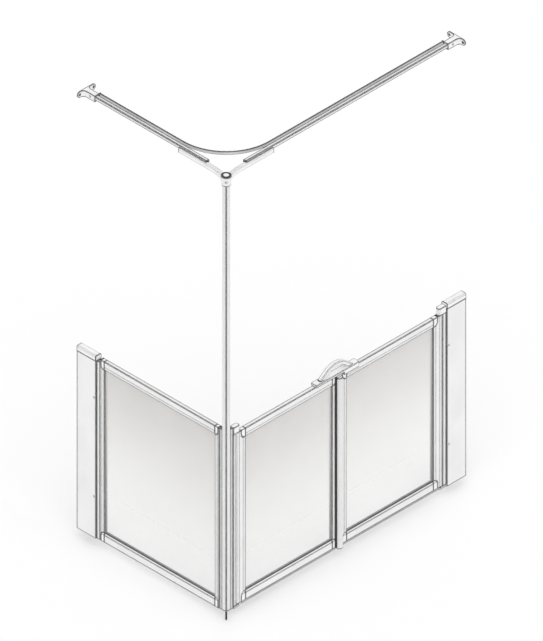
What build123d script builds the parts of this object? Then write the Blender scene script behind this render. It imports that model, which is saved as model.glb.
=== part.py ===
from build123d import *
from math import atan, cos, degrees, radians, sin
import os

# Half height shower screen: a pair of swing doors, a fixed panel, a corner post and a curtain rail.
# All sizes are in millimetres. The origin is on the post's axis at the level of the shower floor.
# The doors stand along +X and the fixed panel along +Y, each ending at a wall.

# Overall sizes
wall_x = 1350.0
wall_y = 835.0
infill_top = 900.0
frame_step = 10.0
door_step = 34.0
door_bottom = 11.0
fixed_bottom = 0.0

# Framed panels
frame_depth = 20.0
top_rail_height = 40.0
bottom_rail_face = 36.0
bottom_rail_height = 47.0
drip_lip = 1.2
profile_wall = 2.2
edge_round = 1.5
pane_thickness = 5.0
pane_edge = 10.0
gasket_thickness = 1.0
gasket_lip = 1.5
groove_clearance = 0.05
cap_reach_wide = 24.0
cap_reach_narrow = 18.0
cap_round_share = 0.9

# Widths along the screen
channel_width = 15.0
channel_depth = 14.0
post_jamb_width = 16.4
wall_jamb_width = 19.4
wall_channel_width = 18.0
hinge_gap = 0.6
hinge_stile_width = 42.0
free_stile_width = 20.0
meeting_stile_width = 58.0
fixed_post_stile_width = 24.0
fixed_wall_stile_width = 24.0
meeting_gap = 3.0
seal_clearance = 0.6

# Infill profiles beside the walls
infill_width = 108.0
infill_depth = 32.0
infill_wall = 2.5
cap_height = 25.0
cap_proud = 0.8
cap_edge_round = 8.0
tongue_length = 20.0
slide_clearance = 0.3
infill_screw_inset = 10.0
infill_screw_heights = (204.0, 692.0)
infill_screw_radius = 1.8
infill_screw_head_radius = 3.5
infill_screw_head_height = 1.6
wall_hole_radius = 2.75
wall_hole_low = 150.0
wall_hole_spacing = 600.0

# Hinges
pivot_radius = 3.0
running_clearance = 0.05
bush_radius = 5.0
bush_length = 15.0
bush_flange_radius = 8.5
bush_flange_thickness = 0.8
pivot_engagement = 14.0
pivot_root = 8.0
hinge_block_nose = 2.0
leaf_clearance = 1.0
block_edge_round = 1.5

# Floor and meeting seals
floor_seal_width = 19.0
floor_seal_base = 3.0
floor_blade = 1.6
floor_gap = 1.5
floor_seal_pivot_gap = 16.0
floor_seal_inset = 2.0
meeting_seal_depth = 18.0
meeting_lip_width = 6.0
meeting_lip_depth = 4.0
meeting_seal_root = 4.0
meeting_seal_root_width = 5.0

# Meeting bar and handle
bar_radius = 15.3
bar_bottom = 3.0
bar_top_gap = 1.0
handle_shift = 2.5
handle_length = 248.0
handle_depth = 35.0
handle_rise = 12.0
handle_plate_gap = 0.8
handle_end_round = 8.0
handle_plate_round = 3.0
handle_skirt = 12.0
handle_notch = 38.0
handle_bow_sink = 45.5
handle_bow_outer = 95.5
handle_bow_inner = 75.0
handle_bow_angle = 40.0
handle_bow_width = 22.0
handle_edge_round = 5.0
handle_screw_radius = 2.0
handle_screw_head_radius = 3.5
handle_screw_head_height = 1.4
handle_screw_lift = 6.0
handle_screw_first = 72.0
handle_screw_pitch = 36.0

# Post and foot
post_radius = 16.0
post_wall = 2.0
post_bottom = 10.0
post_groove = 1.4
post_seat = 0.1
foot_disc_thickness = 3.0
foot_spigot_length = 24.0
foot_stud_radius = 4.0
foot_stud_reach = 45.0
foot_stud_tip = 5.0
foot_thread_radius = 5.0

# Corner bracket on top of the post
hub_bottom = 2104.0
hub_radius = 20.0
hub_top_radius = 23.0
post_engagement = 34.0
post_bore_clearance = 0.1
hub_height = 44.0
slip_clearance = 0.15
arm_heading = 25.75
arm_offset = 24.0
arm_width = 20.0
arm_height = 30.0
arm_round = 9.0
arm_end = 287.0
ring_radius = 18.5
ring_width = 3.5
ring_height = 7.0
ring_seat = 4.0
post_screw_radius = 2.5
post_screw_head_radius = 4.0
post_screw_lift = 22.0
post_screw_head_height = 2.0

# Rail tubes and curtain track
tube_width = 18.0
tube_height = 18.0
tube_wall = 1.5
tube_offset = 30.0
tube_lift = 12.0
tube_start = 135.0
tube_round = 3.0
tube_end_gap = 6.0
track_width = 7.0
track_height = 14.0
track_proud = 10.0
track_stand_off = 0.0
track_corner_radius = 246.0
track_end_gap = 76.0
track_slot = 3.0
track_slot_depth = 8.0
track_groove = 2.0
track_groove_depth = 1.2
stop_length = 5.5
stop_proud = 1.2

# Rail wall brackets
bracket_length = 104.0
bracket_shift = 6.0
bracket_height = 30.0
bracket_flange = 5.0
bracket_reach = 70.0
bracket_cover = 4.0
bracket_back_cover = 4.0
bracket_fillet = 16.0
bracket_nose_round = 3.0
bracket_hole_spacing = 79.0
bracket_hole_radius = 2.75
bracket_sink_radius = 5.0
bracket_sink_depth = 1.5
grub_radius = 2.5
grub_head_radius = 4.6
grub_head_height = 1.6
grub_from_wall = 42.0

# Derived places along the screen, the same for both sides up to the channel
frame_top = infill_top - frame_step
door_top = frame_top - door_step
half_depth = frame_depth / 2
channel_end = post_radius + channel_width
barrel_radius = half_depth
door_a_axis = channel_end + post_jamb_width + hinge_gap + barrel_radius
infill_edge_x = wall_x - infill_width
infill_edge_y = wall_y - infill_width
door_b_axis = infill_edge_x - wall_jamb_width - hinge_gap - barrel_radius
solid_widths = 2 * hinge_stile_width + free_stile_width + meeting_gap + meeting_stile_width
pane_width = (door_b_axis - door_a_axis - solid_widths) / 2
door_a_pane = (door_a_axis + hinge_stile_width, door_a_axis + hinge_stile_width + pane_width)
door_a_edge = door_a_pane[1] + free_stile_width
door_b_edge = door_a_edge + meeting_gap
door_b_pane = (door_b_edge + meeting_stile_width, door_b_axis - hinge_stile_width)
fixed_pane = (
    channel_end + fixed_post_stile_width,
    infill_edge_y - wall_channel_width - fixed_wall_stile_width,
)
hinge_block_top = frame_top
hinge_block_level = door_top + leaf_clearance
low_block_height = door_bottom - leaf_clearance
groove_half = pane_thickness / 2 + gasket_thickness + groove_clearance
groove_depth = pane_edge + gasket_thickness + groove_clearance
arm_height_centre = hub_bottom + arm_height / 2
post_top = hub_bottom + post_engagement
post_screw_height = hub_bottom + post_screw_lift
tube_centre_height = arm_height_centre + tube_lift
bracket_centre = tube_offset + bracket_shift
handle_centre_x = door_b_edge + handle_shift
handle_top = door_top + handle_rise
handle_skirt_bottom = door_top - handle_skirt
handle_bow_centre = handle_top - handle_bow_sink
handle_screw_height = handle_skirt_bottom + handle_screw_lift
bar_top = handle_skirt_bottom - bar_top_gap
tube_front = tube_offset - tube_width / 2
tube_back = tube_offset + tube_width / 2
tube_top = tube_centre_height + tube_height / 2
tube_bottom = tube_centre_height - tube_height / 2
track_top = tube_top + track_proud
track_front = tube_back + track_stand_off
track_centre = track_front + track_width / 2
diagonal = Plane(origin=(0, 0, 0), z_dir=(1, -1, 0))

pieces = {}
corner_notches = {}


def across(piece):
    """The same piece for the other side of the corner, mirrored over the diagonal."""
    with BuildPart() as mirrored:
        mirror(piece.part, about=diagonal)
    return mirrored


def slab(x_span, y_span, z_span, mode=Mode.ADD):
    """A box between pairs of coordinates, in the part block that calls it."""
    width = x_span[1] - x_span[0]
    depth = y_span[1] - y_span[0]
    with BuildSketch(Plane.XY.offset(z_span[0])) as foot:
        with Locations(((x_span[0] + x_span[1]) / 2, (y_span[0] + y_span[1]) / 2)):
            Rectangle(width, depth)
    extrude(foot.sketch, amount=z_span[1] - z_span[0], mode=mode)


def cut_groove(pane_span, sill, head):
    """The glazing groove that the pane and its gasket sit in, cut from a frame piece."""
    slab(
        (pane_span[0] - groove_depth, pane_span[1] + groove_depth),
        (-groove_half, groove_half),
        (sill - groove_depth, head + groove_depth),
        mode=Mode.SUBTRACT,
    )


# Frame of a panel: rails, glazing and corner caps


def top_rail_section(top, plane, hollow):
    with BuildSketch(plane) as section:
        with Locations((0, top - top_rail_height / 2)):
            RectangleRounded(frame_depth, top_rail_height, edge_round)
        if hollow:
            room = top_rail_height - groove_depth - 2 * profile_wall
            with Locations((0, top - profile_wall - room / 2)):
                Rectangle(frame_depth - 2 * profile_wall, room, mode=Mode.SUBTRACT)
    return section.sketch


def bottom_rail_section(bottom, plane, hollow):
    lip = groove_half + drip_lip
    with BuildSketch(plane) as section:
        with BuildLine():
            Polyline(
                (-half_depth, bottom),
                (half_depth, bottom),
                (half_depth, bottom + bottom_rail_face),
                (lip, bottom + bottom_rail_height),
                (-lip, bottom + bottom_rail_height),
                (-half_depth, bottom + bottom_rail_face),
                close=True,
            )
        make_face()
        if hollow:
            room = bottom_rail_height - groove_depth - 2 * profile_wall
            with Locations((0, bottom + profile_wall + room / 2)):
                Rectangle(frame_depth - 2 * profile_wall, room, mode=Mode.SUBTRACT)
    return section.sketch


def make_rail(section, pane_span, sill, head):
    with BuildPart() as rail:
        extrude(section, amount=pane_span[1] - pane_span[0])
        cut_groove(pane_span, sill, head)
    return rail


def corner_outline(glass_edge, away, reach, inner, outer):
    """The face shape of a corner cap, with a large round where it meets the upright."""
    rise = 1 if outer > inner else -1
    round_size = reach * cap_round_share
    far = glass_edge + away * reach
    turn = (far - away * round_size, inner + rise * round_size)
    middle = (
        turn[0] + away * round_size * cos(radians(45)),
        turn[1] - rise * round_size * sin(radians(45)),
    )
    with BuildSketch(Plane.XZ) as outline:
        with BuildLine():
            Line((glass_edge, inner), (turn[0], inner))
            ThreePointArc((turn[0], inner), middle, (far, turn[1]))
            Polyline((far, turn[1]), (far, outer), (glass_edge, outer), (glass_edge, inner))
        make_face()
    return outline.sketch


def make_corner_cap(outline, section, pane_span, sill, head):
    with BuildPart() as cap:
        extrude(section, amount=cap_reach_wide)
        extrude(outline, amount=half_depth, both=True, mode=Mode.INTERSECT)
        cut_groove(pane_span, sill, head)
    return cap


def make_glazed_panel(name, pane_span, bottom, top, reaches):
    """Pane, gasket, both rails and the four corner caps of one framed panel."""
    sill = bottom + bottom_rail_height
    head = top - top_rail_height
    start = Plane.YZ.offset(pane_span[0])
    wide = (pane_span[0] - pane_edge, pane_span[1] + pane_edge)
    tall = (sill - pane_edge, head + pane_edge)
    half_pane = pane_thickness / 2
    half_gasket = half_pane + gasket_thickness
    with BuildPart() as pane:
        slab(wide, (-half_pane, half_pane), tall)
    with BuildPart() as gasket:
        slab(
            (wide[0] - gasket_thickness, wide[1] + gasket_thickness),
            (-half_gasket, half_gasket),
            (tall[0] - gasket_thickness, tall[1] + gasket_thickness),
        )
        slab(wide, (-half_pane, half_pane), tall, mode=Mode.SUBTRACT)
        slab(
            (pane_span[0] + gasket_lip, pane_span[1] - gasket_lip),
            (-half_gasket, half_gasket),
            (sill + gasket_lip, head - gasket_lip),
            mode=Mode.SUBTRACT,
        )
    with BuildPart() as caps:
        for glass_edge, away, reach in zip(pane_span, (-1, 1), reaches):
            plane = Plane.YZ.offset(glass_edge if away > 0 else glass_edge - cap_reach_wide)
            for inner, outer, section in (
                (head, top, top_rail_section(top, plane, False)),
                (sill, bottom, bottom_rail_section(bottom, plane, False)),
            ):
                outline = corner_outline(glass_edge, away, reach, inner, outer)
                add(make_corner_cap(outline, section, pane_span, sill, head).part)
    with BuildPart() as notches:
        for glass_edge, away, reach in zip(pane_span, (-1, 1), reaches):
            for inner, outer in ((head, top), (sill, bottom)):
                outline = corner_outline(glass_edge, away, reach, inner, outer)
                extrude(outline, amount=half_depth, both=True)
    corner_notches[name] = notches
    pieces[name + "_pane"] = pane
    pieces[name + "_gasket"] = gasket
    pieces[name + "_top_rail"] = make_rail(
        top_rail_section(top, start, True), pane_span, sill, head
    )
    pieces[name + "_bottom_rail"] = make_rail(
        bottom_rail_section(bottom, start, True), pane_span, sill, head
    )
    pieces[name + "_corner_caps"] = caps


def make_stile(name, pane_span, bottom, top, outer_edge, inner_edge):
    """A straight upright between its outer edge and the glass."""
    low = min(outer_edge, inner_edge)
    high = max(outer_edge, inner_edge)
    away = 1 if outer_edge > inner_edge else -1
    room = (high - low) - groove_depth - 2 * profile_wall
    middle = outer_edge - away * (profile_wall + room / 2)
    with BuildPart() as stile:
        with BuildSketch(Plane.XY.offset(bottom)):
            with Locations(((low + high) / 2, 0)):
                RectangleRounded(high - low, frame_depth, edge_round)
            with Locations((middle, 0)):
                Rectangle(room, frame_depth - 2 * profile_wall, mode=Mode.SUBTRACT)
        extrude(amount=top - bottom)
        cut_groove(pane_span, bottom + bottom_rail_height, top - top_rail_height)
        add(corner_notches[name].part, mode=Mode.SUBTRACT)
    return stile


# Doors: hinge stiles, pivots, bushes and seals


def make_hinge_stile(name, pane_span, axis, glass_edge):
    """The upright whose round outer edge turns about the pivots."""
    with BuildPart() as stile:
        with BuildSketch(Plane.XY.offset(door_bottom)):
            with Locations(((axis + glass_edge) / 2, 0)):
                Rectangle(abs(glass_edge - axis), frame_depth)
            with Locations((axis, 0)):
                Circle(barrel_radius)
                Circle(bush_radius, mode=Mode.SUBTRACT)
            away = 1 if glass_edge > axis else -1
            low = axis + away * (bush_radius + profile_wall)
            high = glass_edge - away * (groove_depth + profile_wall)
            with Locations(((low + high) / 2, 0)):
                Rectangle(abs(high - low), frame_depth - 2 * profile_wall, mode=Mode.SUBTRACT)
        extrude(amount=door_top - door_bottom)
        cut_groove(pane_span, door_bottom + bottom_rail_height, door_top - top_rail_height)
        add(corner_notches[name].part, mode=Mode.SUBTRACT)
    return stile


def make_bushes(axis):
    """A flanged plastic bush in each end of the round edge."""
    bore = pivot_radius + running_clearance
    with BuildPart() as bushes:
        for face, away in ((door_bottom, -1), (door_top, 1)):
            for radius, reach in (
                (bush_radius, -away * bush_length),
                (bush_flange_radius, away * bush_flange_thickness),
            ):
                with BuildSketch(Plane.XY.offset(face)) as ring:
                    with Locations((axis, 0)):
                        Circle(radius)
                        Circle(bore, mode=Mode.SUBTRACT)
                extrude(ring.sketch, amount=reach)
    return bushes


def make_pivot_pins(axis):
    """A steel pin in each hinge block, standing into the door's bush."""
    spans = (
        (low_block_height - pivot_root, door_bottom + pivot_engagement),
        (door_top - pivot_engagement, hinge_block_level + pivot_root),
    )
    with BuildPart() as pins:
        for low, high in spans:
            with BuildSketch(Plane.XY.offset(low)) as section:
                with Locations((axis, 0)):
                    Circle(pivot_radius)
            extrude(section.sketch, amount=high - low)
    return pins


def make_hinge_block(axis, back_edge, bottom, top, pin_low, pin_high):
    """A block on the end of the jamb, with a round nose over the door's pivot."""
    nose = barrel_radius + hinge_block_nose
    with BuildPart() as block:
        with BuildSketch(Plane.XY.offset(bottom)):
            with Locations(((axis + back_edge) / 2, 0)):
                Rectangle(abs(axis - back_edge), 2 * nose)
            with Locations((axis, 0)):
                Circle(nose)
        extrude(amount=top - bottom)
        fillet(block.faces().sort_by(Axis.Z)[-1].edges(), block_edge_round)
        with BuildSketch(Plane.XY.offset(pin_low)):
            with Locations((axis, 0)):
                Circle(pivot_radius)
        extrude(amount=pin_high - pin_low, mode=Mode.SUBTRACT)
    return block


def make_floor_seal(start, end):
    """A strip under the bottom rail with two soft blades down to the floor."""
    half = floor_seal_width / 2
    base = door_bottom - floor_seal_base
    with BuildPart() as seal:
        slab((start, end), (-half, half), (base, door_bottom))
        slab((start, end), (-half, floor_blade - half), (floor_gap, base))
        slab((start, end), (half - floor_blade, half), (floor_gap, base))
    return seal


wide_narrow = (cap_reach_wide, cap_reach_narrow)
make_glazed_panel("door_a", door_a_pane, door_bottom, door_top, wide_narrow)
make_glazed_panel("door_b", door_b_pane, door_bottom, door_top, (cap_reach_wide, cap_reach_wide))
pieces["door_a_hinge_stile"] = make_hinge_stile("door_a", door_a_pane, door_a_axis, door_a_pane[0])
pieces["door_b_hinge_stile"] = make_hinge_stile("door_b", door_b_pane, door_b_axis, door_b_pane[1])
pieces["door_a_free_stile"] = make_stile(
    "door_a", door_a_pane, door_bottom, door_top, door_a_edge, door_a_pane[1]
)
pieces["door_b_meeting_stile"] = make_stile(
    "door_b", door_b_pane, door_bottom, door_top, door_b_edge, door_b_pane[0]
)
for name, axis, far_edge in (
    ("door_a", door_a_axis, door_a_edge - floor_seal_inset),
    ("door_b", door_b_axis, door_b_edge + floor_seal_inset),
):
    near = axis + floor_seal_pivot_gap if far_edge > axis else axis - floor_seal_pivot_gap
    pieces[name + "_floor_seal"] = make_floor_seal(min(near, far_edge), max(near, far_edge))
    pieces[name + "_bushes"] = make_bushes(axis)
with BuildPart() as pivot_pins:
    add(make_pivot_pins(door_a_axis).part)
    add(make_pivot_pins(door_b_axis).part)
pieces["pivot_pins"] = pivot_pins

# Black seal on the free edge of door A, with its root in the upright
seal_face = door_b_edge - seal_clearance
with BuildPart() as meeting_seal:
    slab(
        (door_a_edge, seal_face),
        (-half_depth, meeting_seal_depth / 2),
        (door_bottom, door_top),
    )
    slab(
        (door_a_edge - meeting_lip_width, seal_face),
        (-half_depth - meeting_lip_depth, -half_depth),
        (door_bottom, door_top),
    )
    slab(
        (door_a_edge - profile_wall, door_a_edge),
        (-meeting_seal_root_width / 2, meeting_seal_root_width / 2),
        (door_bottom + meeting_seal_root, door_top - meeting_seal_root),
    )
pieces["meeting_seal"] = meeting_seal
with BuildPart() as free_stile:
    add(pieces["door_a_free_stile"].part)
    add(meeting_seal.part, mode=Mode.SUBTRACT)
pieces["door_a_free_stile"] = free_stile
with BuildPart() as free_caps:
    add(pieces["door_a_corner_caps"].part)
    add(meeting_seal.part, mode=Mode.SUBTRACT)
pieces["door_a_corner_caps"] = free_caps

# Half round meeting bar on the front of door B
bar_axis = door_b_edge + bar_radius
with BuildPart() as meeting_bar:
    with BuildSketch(Plane.XY.offset(bar_bottom)):
        with BuildLine():
            Line((bar_axis - bar_radius, -half_depth), (bar_axis + bar_radius, -half_depth))
            ThreePointArc(
                (bar_axis + bar_radius, -half_depth),
                (bar_axis, -half_depth - bar_radius),
                (bar_axis - bar_radius, -half_depth),
            )
        make_face()
    extrude(amount=bar_top - bar_bottom)
pieces["meeting_bar"] = meeting_bar

# Handle base: a plate over both doors, with skirts that sit on door B's top rail
plate_bottom = door_top + handle_plate_gap
handle_end = handle_centre_x + handle_length / 2
screw_places = [handle_centre_x + handle_screw_first + handle_screw_pitch * i for i in range(2)]
screw_plane = Plane.XZ.offset(-handle_depth / 2)
with BuildPart() as handle_base:
    with BuildSketch(Plane.XY.offset(plate_bottom)):
        with Locations((handle_centre_x, 0)):
            RectangleRounded(handle_length, handle_depth, handle_end_round)
    extrude(amount=handle_top - plate_bottom)
    fillet(handle_base.faces().sort_by(Axis.Z)[-1].edges(), handle_plate_round)
    with BuildSketch(Plane.XY.offset(handle_skirt_bottom)) as skirt:
        with Locations((handle_centre_x, 0)):
            RectangleRounded(handle_length, handle_depth, handle_end_round)
        with Locations((door_b_edge - handle_length / 2, 0)):
            Rectangle(handle_length, handle_depth, mode=Mode.SUBTRACT)
    extrude(skirt.sketch, amount=plate_bottom - handle_skirt_bottom)
    slab(
        (door_b_edge, handle_end),
        (-half_depth, half_depth),
        (handle_skirt_bottom, door_top),
        mode=Mode.SUBTRACT,
    )
    slab(
        (door_b_edge, door_b_edge + handle_notch),
        (-handle_depth / 2, -half_depth),
        (handle_skirt_bottom, plate_bottom),
        mode=Mode.SUBTRACT,
    )
    for place in screw_places:
        with BuildSketch(screw_plane) as hole:
            with Locations((place, handle_screw_height)):
                Circle(handle_screw_radius)
        extrude(hole.sketch, amount=handle_depth / 2, mode=Mode.SUBTRACT)
pieces["handle_base"] = handle_base

# Handle bow: a round arch with straight legs that run down to the base
bow_side = sin(radians(handle_bow_angle))
bow_rise = cos(radians(handle_bow_angle))


def bow_point(radius, side, fall):
    """A point on the arch's edge, or further down its leg at the height that is asked for."""
    x = handle_centre_x + side * radius * bow_side
    z = handle_bow_centre + radius * bow_rise
    drop = (z - fall) * bow_rise / bow_side if fall else 0
    return (x + side * drop, fall if fall else z)


with BuildPart() as handle_bow:
    with BuildSketch(Plane.XZ):
        with BuildLine():
            for radius in (handle_bow_outer, handle_bow_inner):
                ThreePointArc(
                    bow_point(radius, -1, 0),
                    (handle_centre_x, handle_bow_centre + radius),
                    bow_point(radius, 1, 0),
                )
                for side in (-1, 1):
                    Line(bow_point(radius, side, 0), bow_point(radius, side, handle_top))
            for side in (-1, 1):
                Line(
                    bow_point(handle_bow_outer, side, handle_top),
                    bow_point(handle_bow_inner, side, handle_top),
                )
        make_face()
    extrude(amount=handle_bow_width / 2, both=True)
    fillet(handle_bow.edges().filter_by(GeomType.CIRCLE), handle_edge_round)
pieces["handle_bow"] = handle_bow

with BuildPart() as handle_screws:
    for place in screw_places:
        grip = handle_depth / 2 - half_depth + profile_wall
        for radius, reach in (
            (handle_screw_radius, grip),
            (handle_screw_head_radius, -handle_screw_head_height),
        ):
            with BuildSketch(screw_plane) as section:
                with Locations((place, handle_screw_height)):
                    Circle(radius)
            extrude(section.sketch, amount=reach)
pieces["handle_screws"] = handle_screws
with BuildPart() as drilled_rail:
    add(pieces["door_b_top_rail"].part)
    add(handle_screws.part, mode=Mode.SUBTRACT)
pieces["door_b_top_rail"] = drilled_rail

# Fixed panel, built along X and mirrored over the diagonal to stand along Y
narrow_pair = (cap_reach_narrow, cap_reach_narrow)
make_glazed_panel("fixed", fixed_pane, fixed_bottom, frame_top, narrow_pair)
pieces["fixed_post_stile"] = make_stile(
    "fixed", fixed_pane, fixed_bottom, frame_top, channel_end, fixed_pane[0]
)
pieces["fixed_wall_stile"] = make_stile(
    "fixed",
    fixed_pane,
    fixed_bottom,
    frame_top,
    infill_edge_y - wall_channel_width,
    fixed_pane[1],
)
for name in [key for key in pieces if key.startswith("fixed_")]:
    pieces[name] = across(pieces[name])

# Channels that join both sides to the post, hollowed to fit its round face
with BuildPart() as post_channel:
    with BuildSketch(Plane.XY):
        with Locations((channel_end / 2, 0)):
            Rectangle(channel_end, channel_depth)
        Circle(post_radius + post_seat, mode=Mode.SUBTRACT)
        slot = channel_width - 2 * profile_wall - post_seat
        with Locations((channel_end - profile_wall - slot / 2, 0)):
            Rectangle(slot - profile_wall, channel_depth - 2 * profile_wall, mode=Mode.SUBTRACT)
    extrude(amount=frame_top)
pieces["door_side_channel"] = post_channel
pieces["fixed_side_channel"] = across(post_channel)

# Jamb beside the post, between the two hinge blocks
with BuildPart() as post_jamb:
    with BuildSketch(Plane.XY.offset(low_block_height)):
        with Locations((channel_end + post_jamb_width / 2, 0)):
            RectangleRounded(post_jamb_width, frame_depth, edge_round)
            Rectangle(
                post_jamb_width - 2 * profile_wall,
                frame_depth - 2 * profile_wall,
                mode=Mode.SUBTRACT,
            )
    extrude(amount=hinge_block_level - low_block_height)
pieces["post_jamb"] = post_jamb


# Wall side profiles, with a tongue that slides into the infill for adjustment


def make_tongued_profile(edge, width, low, high):
    tongue_depth = infill_depth - 2 * infill_wall - 2 * slide_clearance
    with BuildPart() as profile:
        with BuildSketch(Plane.XY.offset(low)):
            with Locations((edge - width / 2, 0)):
                RectangleRounded(width, frame_depth, edge_round)
                Rectangle(
                    width - 2 * profile_wall, frame_depth - 2 * profile_wall, mode=Mode.SUBTRACT
                )
            with Locations((edge + tongue_length / 2, 0)):
                Rectangle(tongue_length, tongue_depth)
                Rectangle(
                    tongue_length - 2 * profile_wall,
                    tongue_depth - 2 * profile_wall,
                    mode=Mode.SUBTRACT,
                )
            with Locations((edge - edge_round / 2, 0)):
                Rectangle(edge_round, frame_depth)
        extrude(amount=high - low)
        cut_infill_screws(edge)
    return profile


def cut_infill_screws(edge):
    for height in infill_screw_heights:
        with BuildSketch(Plane.XZ.offset(infill_depth / 2)) as hole:
            with Locations((edge + infill_screw_inset, height)):
                Circle(infill_screw_radius)
        extrude(hole.sketch, amount=-infill_depth / 2, mode=Mode.SUBTRACT)


def make_infill(wall):
    """A deep channel that closes the gap to the wall, open towards the frame."""
    edge = wall - infill_width
    with BuildPart() as infill:
        with BuildSketch(Plane.XY):
            with Locations(((edge + wall) / 2, 0)):
                Rectangle(infill_width, infill_depth)
            with Locations(((edge + wall - infill_wall) / 2, 0)):
                Rectangle(
                    infill_width - infill_wall,
                    infill_depth - 2 * infill_wall,
                    mode=Mode.SUBTRACT,
                )
        extrude(amount=infill_top - cap_height)
        cut_infill_screws(edge)
        with BuildSketch(Plane.YZ.offset(wall - infill_wall)):
            with Locations((0, wall_hole_low), (0, wall_hole_low + wall_hole_spacing)):
                Circle(wall_hole_radius)
        extrude(amount=infill_wall, mode=Mode.SUBTRACT)
    return infill


def make_infill_cap(wall):
    """A moulded top cap with rounded shoulders, and a plug inside the channel."""
    edge = wall - infill_width
    seat = infill_top - cap_height
    half = infill_depth / 2 + cap_proud
    with BuildPart() as cap:
        slab((edge, wall), (-half, half), (seat, infill_top))
        shoulders = cap.edges().filter_by(Axis.X).group_by(Axis.Z)[-1]
        fillet(shoulders, cap_edge_round)
        inner = infill_depth / 2 - infill_wall - slide_clearance
        slab(
            (edge + tongue_length + infill_wall, wall - infill_wall - slide_clearance),
            (-inner, inner),
            (seat - cap_height / 2, seat),
        )
    return cap


def make_infill_screws(wall):
    edge = wall - infill_width
    face = infill_depth / 2
    grip = 2 * infill_wall + slide_clearance + profile_wall
    with BuildPart() as screws:
        for height in infill_screw_heights:
            for radius, start, reach in (
                (infill_screw_radius, face, -grip),
                (infill_screw_head_radius, face, infill_screw_head_height),
            ):
                with BuildSketch(Plane.XZ.offset(start)) as section:
                    with Locations((edge + infill_screw_inset, height)):
                        Circle(radius)
                extrude(section.sketch, amount=reach)
        heads = screws.faces().group_by(Axis.Y)[0].edges()
        fillet(heads, infill_screw_head_height / 2)
    return screws


tongue_top = infill_top - cap_height
pieces["wall_jamb"] = make_tongued_profile(
    infill_edge_x, wall_jamb_width, low_block_height, hinge_block_level
)
pieces["wall_channel"] = across(
    make_tongued_profile(infill_edge_y, wall_channel_width, fixed_bottom, tongue_top)
)
pieces["door_side_infill"] = make_infill(wall_x)
pieces["fixed_side_infill"] = across(make_infill(wall_y))


def both_sides(make_piece):
    """A piece for the door side and its like for the fixed side, held in one node."""
    with BuildPart() as pair:
        add(make_piece(wall_x).part)
        add(across(make_piece(wall_y)).part)
    return pair


pieces["infill_caps"] = both_sides(make_infill_cap)
pieces["infill_screws"] = both_sides(make_infill_screws)

# Hinge blocks: one above and one below each door
low_blocks = []
top_blocks = []
for axis, back_edge in ((door_a_axis, channel_end), (door_b_axis, infill_edge_x)):
    low_blocks.append(
        make_hinge_block(
            axis, back_edge, 0, low_block_height, low_block_height - pivot_root, low_block_height
        )
    )
    top_blocks.append(
        make_hinge_block(
            axis,
            back_edge,
            hinge_block_level,
            hinge_block_top,
            hinge_block_level,
            hinge_block_level + pivot_root,
        )
    )
for name, blocks in (("low_hinge_blocks", low_blocks), ("top_hinge_blocks", top_blocks)):
    with BuildPart() as pair:
        for block in blocks:
            add(block.part)
    pieces[name] = pair

# Corner post: a round tube with a fine groove down the outside of the corner
with BuildPart() as corner_post:
    with BuildSketch(Plane.XY.offset(post_bottom)):
        Circle(post_radius)
        Circle(post_radius - post_wall, mode=Mode.SUBTRACT)
        with PolarLocations(post_radius, 1, start_angle=225):
            Rectangle(post_groove, post_groove, rotation=45, mode=Mode.SUBTRACT)
    extrude(amount=post_top - post_bottom)
pieces["corner_post"] = corner_post

with BuildPart() as post_foot:
    with BuildSketch(Plane.XY.offset(post_bottom - foot_disc_thickness)):
        Circle(post_radius)
    extrude(amount=foot_disc_thickness)
    with BuildSketch(Plane.XY.offset(post_bottom)):
        Circle(post_radius - post_wall - slip_clearance)
    extrude(amount=foot_spigot_length)
    fillet(post_foot.faces().sort_by(Axis.Z)[0].edges(), edge_round)
    with BuildSketch(Plane.XY.offset(post_bottom - foot_disc_thickness)):
        Circle(foot_thread_radius)
    extrude(amount=foot_disc_thickness + foot_spigot_length, mode=Mode.SUBTRACT)
pieces["post_foot"] = post_foot

with BuildPart() as foot_stud:
    with BuildSketch(Plane.XY.offset(-foot_stud_reach)):
        Circle(foot_stud_radius)
    extrude(amount=foot_stud_reach + post_bottom - foot_disc_thickness)
    chamfer(foot_stud.faces().sort_by(Axis.Z)[0].edges(), foot_stud_tip, foot_stud_radius / 2)
    with BuildSketch(Plane.XY.offset(post_bottom - foot_disc_thickness)):
        Circle(foot_thread_radius)
    extrude(amount=foot_spigot_length)
pieces["foot_stud"] = foot_stud

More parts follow.
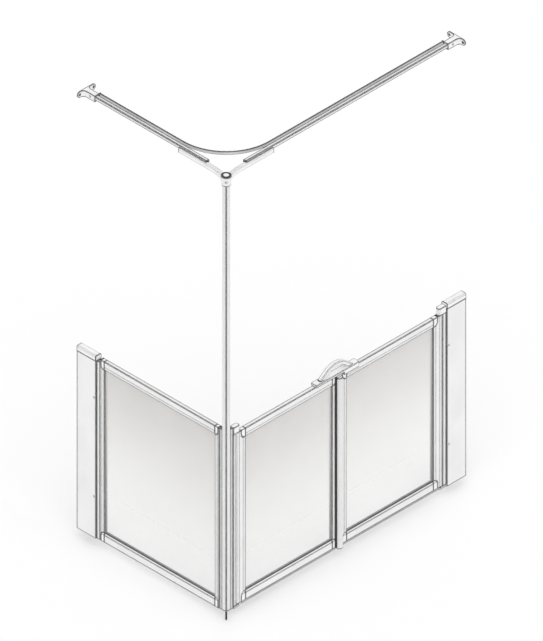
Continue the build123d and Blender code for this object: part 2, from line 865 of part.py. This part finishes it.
# Corner bracket: a hub on the post and two curved arms that carry the rail tubes
arm_radius = arm_offset / (1 - cos(radians(arm_heading)))
hub_top = hub_bottom + hub_height
with BuildPart() as corner_bracket:
    with BuildLine() as arm_line:
        bend = JernArc(
            start=(0, 0, arm_height_centre),
            tangent=(cos(radians(arm_heading)), sin(radians(arm_heading))),
            radius=arm_radius,
            arc_size=-arm_heading,
        )
        Line(bend @ 1, (arm_end, arm_offset, arm_height_centre))
    heading = Vector(cos(radians(arm_heading)), sin(radians(arm_heading)), 0)
    sideways = Vector(-sin(radians(arm_heading)), cos(radians(arm_heading)), 0)
    with BuildSketch(Plane(origin=(0, 0, arm_height_centre), x_dir=sideways, z_dir=heading)):
        RectangleRounded(arm_width, arm_height, arm_round)
    sweep(path=arm_line.wires()[0])
    slab(
        (tube_start, arm_end),
        (tube_front - slip_clearance, tube_back + slip_clearance),
        (tube_bottom - slip_clearance, tube_top + slip_clearance),
        mode=Mode.SUBTRACT,
    )
    mirror(about=diagonal)
    with BuildSketch(Plane.XY.offset(hub_bottom)):
        Circle(hub_radius)
    extrude(amount=hub_height, taper=-degrees(atan((hub_top_radius - hub_radius) / hub_height)))
    with BuildSketch(Plane.XY.offset(hub_bottom)):
        Circle(post_radius + post_bore_clearance)
    extrude(amount=post_top - hub_bottom, mode=Mode.SUBTRACT)
    with BuildSketch(Plane.XY.offset(hub_top - ring_seat)):
        Circle(ring_radius)
    extrude(amount=ring_height, mode=Mode.SUBTRACT)
    outward = Vector(-cos(radians(45)), -sin(radians(45)), 0)
    flare = (hub_top_radius - hub_radius) * (post_screw_height - hub_bottom) / hub_height
    screw_seat = hub_radius + flare
    post_screw_depth = screw_seat - post_radius
    screw_face = Plane(origin=outward * screw_seat + Vector(0, 0, post_screw_height), z_dir=outward)
    with BuildSketch(screw_face):
        Circle(post_screw_radius)
    extrude(amount=-post_screw_depth, mode=Mode.SUBTRACT)
pieces["corner_bracket"] = corner_bracket

with BuildPart() as post_screw:
    with BuildSketch(screw_face):
        Circle(post_screw_head_radius)
    extrude(amount=post_screw_head_height)
    fillet(post_screw.faces().filter_by(GeomType.PLANE).sort_by(Axis.X)[0].edges(), edge_round / 2)
    with BuildSketch(screw_face):
        Circle(post_screw_radius)
    extrude(amount=-post_screw_depth)
    add(corner_bracket.part, mode=Mode.SUBTRACT)
pieces["post_screw"] = post_screw

with BuildPart() as hub_ring:
    with BuildSketch(Plane.XY.offset(hub_top - ring_seat)):
        Circle(ring_radius)
        Circle(ring_radius - ring_width, mode=Mode.SUBTRACT)
    extrude(amount=ring_height)
    fillet(hub_ring.faces().sort_by(Axis.Z)[-1].edges(), edge_round)
pieces["hub_ring"] = hub_ring

with BuildPart() as hub_cap:
    with BuildSketch(Plane.XY.offset(hub_top - ring_seat)):
        Circle(ring_radius - ring_width)
    extrude(amount=ring_height - edge_round)
    fillet(hub_cap.faces().sort_by(Axis.Z)[-1].edges(), edge_round)
pieces["hub_cap"] = hub_cap


# Straight rail tubes from the bracket's arms to the walls


def make_tube(wall):
    with BuildPart() as tube:
        with BuildSketch(Plane.YZ.offset(tube_start)):
            with Locations((tube_offset, tube_centre_height)):
                RectangleRounded(tube_width, tube_height, tube_round)
                Rectangle(
                    tube_width - 2 * tube_wall, tube_height - 2 * tube_wall, mode=Mode.SUBTRACT
                )
        extrude(amount=wall - tube_end_gap - tube_start)
    return tube


def make_wall_bracket(wall):
    """A cast bracket: a socket for the tube and an ear with a screw hole on each side."""
    front = tube_front - bracket_cover
    back = tube_back + bracket_back_cover
    with BuildPart() as bracket:
        with BuildSketch(Plane.XY.offset(tube_centre_height - bracket_height / 2)) as plan:
            with Locations((wall - bracket_flange / 2, bracket_centre)):
                Rectangle(bracket_flange, bracket_length)
            with Locations((wall - bracket_reach / 2, (front + back) / 2)):
                Rectangle(bracket_reach, back - front)
            inside = plan.vertices().group_by(Axis.X)[1].sort_by(Axis.Y)[1:3]
            fillet(inside, bracket_fillet)
            fillet(plan.vertices().group_by(Axis.X)[0], bracket_nose_round)
        extrude(amount=bracket_height)
        with BuildSketch(Plane.YZ.offset(wall - bracket_reach)) as ears:
            with Locations((bracket_centre, tube_centre_height)):
                SlotOverall(bracket_length, bracket_height)
        extrude(ears.sketch, amount=bracket_reach, mode=Mode.INTERSECT)
        slab(
            (wall - bracket_reach, wall - bracket_flange),
            (tube_front - slip_clearance, tube_back + slip_clearance),
            (tube_bottom - slip_clearance, tube_top + slip_clearance),
            mode=Mode.SUBTRACT,
        )
        for radius, depth in (
            (bracket_hole_radius, bracket_flange),
            (bracket_sink_radius, bracket_sink_depth),
        ):
            with BuildSketch(Plane.YZ.offset(wall - bracket_flange)) as holes:
                with Locations((bracket_centre, tube_centre_height)):
                    with GridLocations(bracket_hole_spacing, 0, 2, 1):
                        Circle(radius)
            extrude(holes.sketch, amount=depth, mode=Mode.SUBTRACT)
        with BuildSketch(Plane.XZ.offset(-front)) as grub_hole:
            with Locations((wall - grub_from_wall, tube_centre_height)):
                Circle(grub_radius)
        extrude(grub_hole.sketch, amount=-bracket_cover, mode=Mode.SUBTRACT)
    return bracket


def make_grub_screw(wall):
    front = tube_front - bracket_cover
    with BuildPart() as screw:
        with BuildSketch(Plane.XZ.offset(-front)):
            with Locations((wall - grub_from_wall, tube_centre_height)):
                Circle(grub_head_radius)
        extrude(amount=grub_head_height)
        fillet(screw.faces().sort_by(Axis.Y)[0].edges(), edge_round / 2)
        with BuildSketch(Plane.XZ.offset(-front)):
            with Locations((wall - grub_from_wall, tube_centre_height)):
                Circle(grub_radius)
        extrude(amount=-bracket_cover)
    return screw


pieces["door_side_rail_tube"] = make_tube(wall_x)
pieces["fixed_side_rail_tube"] = across(make_tube(wall_y))
pieces["door_side_rail_bracket"] = make_wall_bracket(wall_x)
pieces["fixed_side_rail_bracket"] = across(make_wall_bracket(wall_y))
pieces["grub_screws"] = both_sides(make_grub_screw)

# Curtain track: one bent profile behind both tubes, with a glider slot below
track_bottom = track_top - track_height
bend_centre = track_centre + track_corner_radius
track_ends = (wall_x - track_end_gap, wall_y - track_end_gap)
with BuildPart() as curtain_track:
    with BuildLine() as track_line:
        Line((track_ends[0], track_centre), (bend_centre, track_centre))
        ThreePointArc(
            (bend_centre, track_centre),
            (
                bend_centre - track_corner_radius * cos(radians(45)),
                bend_centre - track_corner_radius * sin(radians(45)),
            ),
            (track_centre, bend_centre),
        )
        Line((track_centre, bend_centre), (track_centre, track_ends[1]))
    with BuildSketch(Plane(origin=(track_ends[0], track_centre, 0), x_dir=(0, 1, 0), z_dir=(-1, 0, 0))):
        with Locations((0, -(track_top + track_bottom) / 2)):
            Rectangle(track_width, track_height)
        with Locations((0, -track_bottom - track_slot_depth / 2)):
            Rectangle(track_slot, track_slot_depth, mode=Mode.SUBTRACT)
        with Locations((0, -track_top + track_groove_depth / 2)):
            Rectangle(track_groove, track_groove_depth, mode=Mode.SUBTRACT)
    sweep(path=track_line.wires()[0])
pieces["curtain_track"] = curtain_track


def make_track_stop(wall):
    """The end stop on the track, where the gliders would run off."""
    start = wall - track_end_gap
    with BuildPart() as stop:
        slab(
            (start, start + stop_length),
            (track_front, track_front + track_width + stop_proud),
            (track_bottom - stop_proud, track_top + stop_proud),
        )
    return stop


pieces["track_stops"] = both_sides(make_track_stop)

os.makedirs("parts", exist_ok=True)
for name, piece in pieces.items():
    piece.part.label = name
    export_step(piece.part, f"parts/{name}.step")
print("pieces", len(pieces), "pane width", round(pane_width, 2))
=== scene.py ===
from math import sqrt

import bpy
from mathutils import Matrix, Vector

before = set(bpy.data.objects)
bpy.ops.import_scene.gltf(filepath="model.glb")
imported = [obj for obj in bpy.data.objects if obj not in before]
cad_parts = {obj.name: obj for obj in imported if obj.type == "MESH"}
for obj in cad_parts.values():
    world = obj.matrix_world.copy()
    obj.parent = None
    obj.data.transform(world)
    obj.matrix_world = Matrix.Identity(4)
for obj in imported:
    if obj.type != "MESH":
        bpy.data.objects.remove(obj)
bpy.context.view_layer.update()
print("stage: frame loaded")

# Camera: the drawing is a true isometric view, so the camera is orthographic along (1, 1, -1).
camera = {"target": (0.5604, 0.3025, 1.0), "away": 6.0, "scale": 2.5807, "clip": 40.0}
lens = bpy.data.cameras.new("isoCamera")
lens.type = "ORTHO"
lens.ortho_scale = camera["scale"]
lens.clip_end = camera["clip"]
isoCamera = bpy.data.objects.new("isoCamera", lens)
bpy.context.scene.collection.objects.link(isoCamera)
step = camera["away"] / sqrt(3)
isoCamera.location = Vector(camera["target"]) + Vector((-step, -step, step))
isoCamera.rotation_euler = Vector((1, 1, -1)).to_track_quat("-Z", "Y").to_euler()
bpy.context.scene.camera = isoCamera
bpy.context.scene.view_settings.view_transform = "Standard"  # keeps the page white


def setSocket(node, name, value):
    node.inputs[name].default_value = value


def newMaterial(name):
    material = bpy.data.materials.new(name)
    material.use_nodes = True
    tree = material.node_tree
    shader = tree.nodes["Principled BSDF"]
    return material, tree, shader


# A colour mix with its factor linked, between two colours or linked colour sockets.
def mixColours(tree, factor, low, high):
    mix = tree.nodes.new("ShaderNodeMix")
    mix.data_type = "RGBA"
    tree.links.new(factor, mix.inputs["Factor"])
    for socket, value in ((mix.inputs[6], low), (mix.inputs[7], high)):
        if isinstance(value, bpy.types.NodeSocket):
            tree.links.new(value, socket)
        else:
            socket.default_value = (*value, 1)
    return mix.outputs[2]


def mapValue(tree, source, fromLow, fromHigh, toLow, toHigh):
    node = tree.nodes.new("ShaderNodeMapRange")
    tree.links.new(source, node.inputs["Value"])
    setSocket(node, "From Min", fromLow)
    setSocket(node, "From Max", fromHigh)
    setSocket(node, "To Min", toLow)
    setSocket(node, "To Max", toHigh)
    return node.outputs["Result"]


def noiseAt(tree, coordinates, scale, detail, stretch=(1, 1, 1)):
    mapping = tree.nodes.new("ShaderNodeMapping")
    tree.links.new(coordinates, mapping.inputs["Vector"])
    setSocket(mapping, "Scale", stretch)
    noise = tree.nodes.new("ShaderNodeTexNoise")
    tree.links.new(mapping.outputs["Vector"], noise.inputs["Vector"])
    setSocket(noise, "Scale", scale)
    setSocket(noise, "Detail", detail)
    return noise.outputs["Fac"]


edgeLine = {"samples": 10, "start": 0.998, "full": 0.99}  # how far the rounded normal leans at the painted edge line of shade and highlight


# Mask for the painted edge line: 1 on sharp edges and 0 on flat faces, from the rounded normal against the
# true one.
def edgeFactor(tree, radius):
    bevel = tree.nodes.new("ShaderNodeBevel")
    bevel.samples = edgeLine["samples"]
    setSocket(bevel, "Radius", radius)
    geometry = tree.nodes.new("ShaderNodeNewGeometry")
    dot = tree.nodes.new("ShaderNodeVectorMath")
    dot.operation = "DOT_PRODUCT"
    tree.links.new(bevel.outputs["Normal"], dot.inputs[0])
    tree.links.new(geometry.outputs["True Normal"], dot.inputs[1])
    return mapValue(tree, dot.outputs["Value"], edgeLine["start"], edgeLine["full"], 0.0, 1.0)


surface = {"spread": 0.07, "bumpDepth": 0.0004, "coatRoughness": 0.25}  # the same for every finish


# A moulded or painted finish: slow colour variation and fine grain, with a darker line of painted shade along
# edges (a lighter painted highlight on the black finishes).
def makeFinish(look):
    material, tree, shader = newMaterial(look["name"])
    place = tree.nodes.new("ShaderNodeTexCoord").outputs["Object"]
    broad = noiseAt(tree, place, look["patch"], 3)
    body = mixColours(tree, mapValue(tree, broad, 0.35, 0.65, 0, 1), look["dark"], look["light"])
    # Painted edge line: the body colour is mixed towards a darker painted shade along edges, and towards a
    # lighter painted highlight on the black finishes.
    edge = edgeFactor(tree, look["edgeRadius"])
    colour = mixColours(tree, edge, body, look["edge"])
    tree.links.new(colour, shader.inputs["Base Color"])
    grain = noiseAt(tree, place, look["grain"], 4, look.get("stretch", (1, 1, 1)))
    tree.links.new(
        mapValue(tree, grain, 0.2, 0.8, look["rough"] - surface["spread"], look["rough"] + surface["spread"]),
        shader.inputs["Roughness"],
    )
    bump = tree.nodes.new("ShaderNodeBump")
    setSocket(bump, "Strength", look["bump"])
    setSocket(bump, "Distance", surface["bumpDepth"])
    tree.links.new(grain, bump.inputs["Height"])
    tree.links.new(bump.outputs["Normal"], shader.inputs["Normal"])
    setSocket(shader, "Metallic", look.get("metal", 0.0))
    setSocket(shader, "Specular IOR Level", look.get("shine", 0.4))
    setSocket(shader, "Coat Weight", look.get("coat", 0.0))
    setSocket(shader, "Coat Roughness", surface["coatRoughness"])
    return material


print("stage: helpers ready")

# The edge colour in each finish below is painted shade: a dark line along its edges, not a colour the part
# has.
whiteFrame = makeFinish({
    "name": "whiteFrame",
    "dark": (0.8, 0.8, 0.8), "light": (0.86, 0.86, 0.86),
    "edge": (0.045, 0.045, 0.047),
    "patch": 6.0, "grain": 900.0, "rough": 0.42, "bump": 0.15, "edgeRadius": 0.0072, "coat": 0.1,
    "stretch": (1, 1, 0.06),
})
whiteMoulded = makeFinish({
    "name": "whiteMoulded",
    "dark": (0.85, 0.85, 0.85), "light": (0.91, 0.91, 0.91),
    "edge": (0.04, 0.04, 0.042),
    "patch": 14.0, "grain": 1400.0, "rough": 0.33, "bump": 0.2, "edgeRadius": 0.0072, "coat": 0.2,
})
greyRubber = makeFinish({
    "name": "greyRubber",
    "dark": (0.36, 0.36, 0.36), "light": (0.44, 0.44, 0.44),
    "edge": (0.22, 0.22, 0.22),
    "patch": 30.0, "grain": 1800.0, "rough": 0.7, "bump": 0.4, "edgeRadius": 0.0008,
})
# Its edge colour is lighter than the body: a painted highlight along edges.
blackRubber = makeFinish({
    "name": "blackRubber",
    "dark": (0.006, 0.006, 0.006), "light": (0.014, 0.014, 0.014),
    "edge": (0.02, 0.02, 0.02),
    "patch": 30.0, "grain": 1500.0, "rough": 0.62, "bump": 0.4, "edgeRadius": 0.0008,
})
brushedSteel = makeFinish({
    "name": "brushedSteel",
    "dark": (0.4, 0.4, 0.41), "light": (0.56, 0.56, 0.57),
    "edge": (0.16, 0.16, 0.17),
    "patch": 50.0, "grain": 600.0, "rough": 0.32, "bump": 0.3, "edgeRadius": 0.0006, "metal": 1.0,
    "stretch": (1, 12, 12),
})
trackMetal = makeFinish({
    "name": "trackMetal",
    "dark": (0.5, 0.5, 0.51), "light": (0.62, 0.62, 0.63),
    "edge": (0.03, 0.03, 0.033),
    "patch": 9.0, "grain": 700.0, "rough": 0.36, "bump": 0.2, "edgeRadius": 0.0034,
})
# Its edge colour is lighter than the body: a painted highlight along edges.
blackSteel = makeFinish({
    "name": "blackSteel",
    "dark": (0.012, 0.012, 0.012), "light": (0.03, 0.03, 0.03),
    "edge": (0.05, 0.05, 0.05),
    "patch": 60.0, "grain": 900.0, "rough": 0.4, "bump": 0.3, "edgeRadius": 0.0006, "metal": 0.5,
})


glass = {
    "low": 0.12, "high": 0.86, "bottomColour": (0.98, 0.98, 0.975), "topColour": (0.69, 0.675, 0.655),
    "haze": (0.86, 0.86, 0.85), "hazeShare": 0.15, "lowAlpha": 0.18, "highAlpha": 0.8,
    "smooth": 0.06, "rough": 0.14, "shine": 0.3, "patch": 5.0,
}


# Glazing that turns a warm grey and more opaque towards the top, fading to nearly clear at the bottom.
def makeGlazing():
    material, tree, shader = newMaterial("topGreyGlazing")
    place = tree.nodes.new("ShaderNodeTexCoord").outputs["Object"]
    split = tree.nodes.new("ShaderNodeSeparateXYZ")
    tree.links.new(place, split.inputs["Vector"])
    height = mapValue(tree, split.outputs["Z"], glass["low"], glass["high"], 0.0, 1.0)
    cloud = noiseAt(tree, place, glass["patch"], 2)
    # Colour and opacity follow height only: warm grey and denser at the top, nearly clear at the bottom.
    heightColour = mixColours(tree, height, glass["bottomColour"], glass["topColour"])
    share = mapValue(tree, cloud, 0.4, 0.6, 0.0, glass["hazeShare"])
    haze = mixColours(tree, share, heightColour, glass["haze"])
    tree.links.new(haze, shader.inputs["Base Color"])
    alpha = mapValue(tree, height, 0.0, 1.0, glass["lowAlpha"], glass["highAlpha"])
    tree.links.new(alpha, shader.inputs["Alpha"])
    roughness = mapValue(tree, cloud, 0.3, 0.7, glass["smooth"], glass["rough"])
    tree.links.new(roughness, shader.inputs["Roughness"])
    setSocket(shader, "Specular IOR Level", glass["shine"])
    return material


glazing = makeGlazing()
print("stage: materials ready")


def finishFor(node):
    if node.endswith("_pane"):
        return glazing
    if node.endswith(("_gasket", "_floor_seal", "_bushes")) or node == "post_foot":
        return greyRubber
    if node in ("meeting_seal", "hub_ring"):
        return blackRubber
    if node.endswith("_screws") or node in ("post_screw", "pivot_pins"):
        return brushedSteel
    if node == "foot_stud":
        return blackSteel
    if node == "curtain_track":
        return trackMetal
    moulded = ("_corner_caps", "_blocks", "_caps", "_bracket", "_stops")
    if node.endswith(moulded) or node in ("hub_cap", "handle_base", "handle_bow"):
        return whiteMoulded
    return whiteFrame


for name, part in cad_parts.items():
    part.data.materials.clear()
    part.data.materials.append(finishFor(name))
print("stage: materials on the frame")

# Floor and light: a plain pale page under an even sky, with one soft sun.
floor = {"height": -0.0462, "half": 12.0, "colour": (0.97, 0.97, 0.97, 1), "rough": 0.9}
mesh = bpy.data.meshes.new("floor")
half = floor["half"]
corners = [(-half, -half), (half, -half), (half, half), (-half, half)]
mesh.from_pydata([(x, y, floor["height"]) for x, y in corners], [], [(0, 1, 2, 3)])
floorObject = bpy.data.objects.new("floor", mesh)
bpy.context.scene.collection.objects.link(floorObject)
page, tree, shader = newMaterial("page")
setSocket(shader, "Base Color", floor["colour"])
setSocket(shader, "Roughness", floor["rough"])
setSocket(shader, "Specular IOR Level", 0.0)
mesh.materials.append(page)

sky = {"colour": (1, 1, 1, 1), "strength": 0.82}
world = bpy.data.worlds.new("sky")
bpy.context.scene.world = world
world.use_nodes = True
setSocket(world.node_tree.nodes["Background"], "Color", sky["colour"])
setSocket(world.node_tree.nodes["Background"], "Strength", sky["strength"])

light = {"energy": 0.85, "angle": 1.1, "toward": (0.45, 0.6, -1.0)}
sun = bpy.data.lights.new("softSun", "SUN")
sun.energy = light["energy"]
sun.angle = light["angle"]
sunObject = bpy.data.objects.new("softSun", sun)
sunObject.rotation_euler = Vector(light["toward"]).to_track_quat("-Z", "Y").to_euler()
bpy.context.scene.collection.objects.link(sunObject)
print("stage: floor and light")
